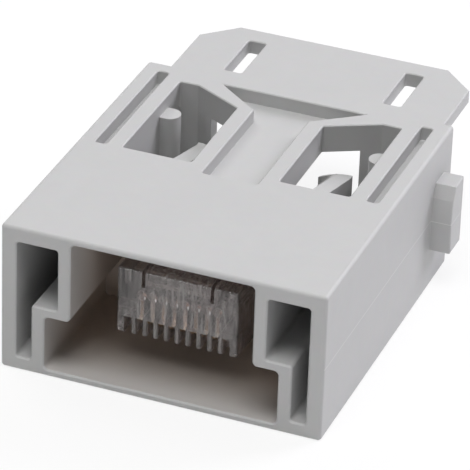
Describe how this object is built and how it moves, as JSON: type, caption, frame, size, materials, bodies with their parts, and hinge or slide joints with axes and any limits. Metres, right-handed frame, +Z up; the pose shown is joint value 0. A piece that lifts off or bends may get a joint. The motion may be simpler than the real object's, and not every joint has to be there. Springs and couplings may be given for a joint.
{
  "type": "modular jack module",
  "caption": "Flat rectangular plug insert for a modular connector frame: a windowed housing with side lugs and a cable-tie tongue, holding a clear plug with its latch.",
  "frame": {"origin": "centre of the overall box, on the underside", "axes": "+X across the module towards the taller lug, +Y from the mating face to the cable-tie tongue, +Z up through the windowed deck"},
  "size_m": [0.034, 0.0434, 0.0144],
  "materials": {
    "housing_plastic": "light grey moulded polycarbonate, fine spark-eroded texture",
    "clear_plastic": "clear polished polycarbonate",
    "comb_plastic": "clear polycarbonate, slightly milky",
    "contact_metal": "gold plated phosphor bronze"
  },
  "bodies": {
    "root": {"housing": "housing_plastic", "plug_body": "clear_plastic", "wire_guide": "comb_plastic", "contact_1": "contact_metal", "contact_2": "contact_metal", "contact_3": "contact_metal", "contact_4": "contact_metal", "contact_5": "contact_metal", "contact_6": "contact_metal", "contact_7": "contact_metal", "contact_8": "contact_metal"}
  },
  "joints": []
}
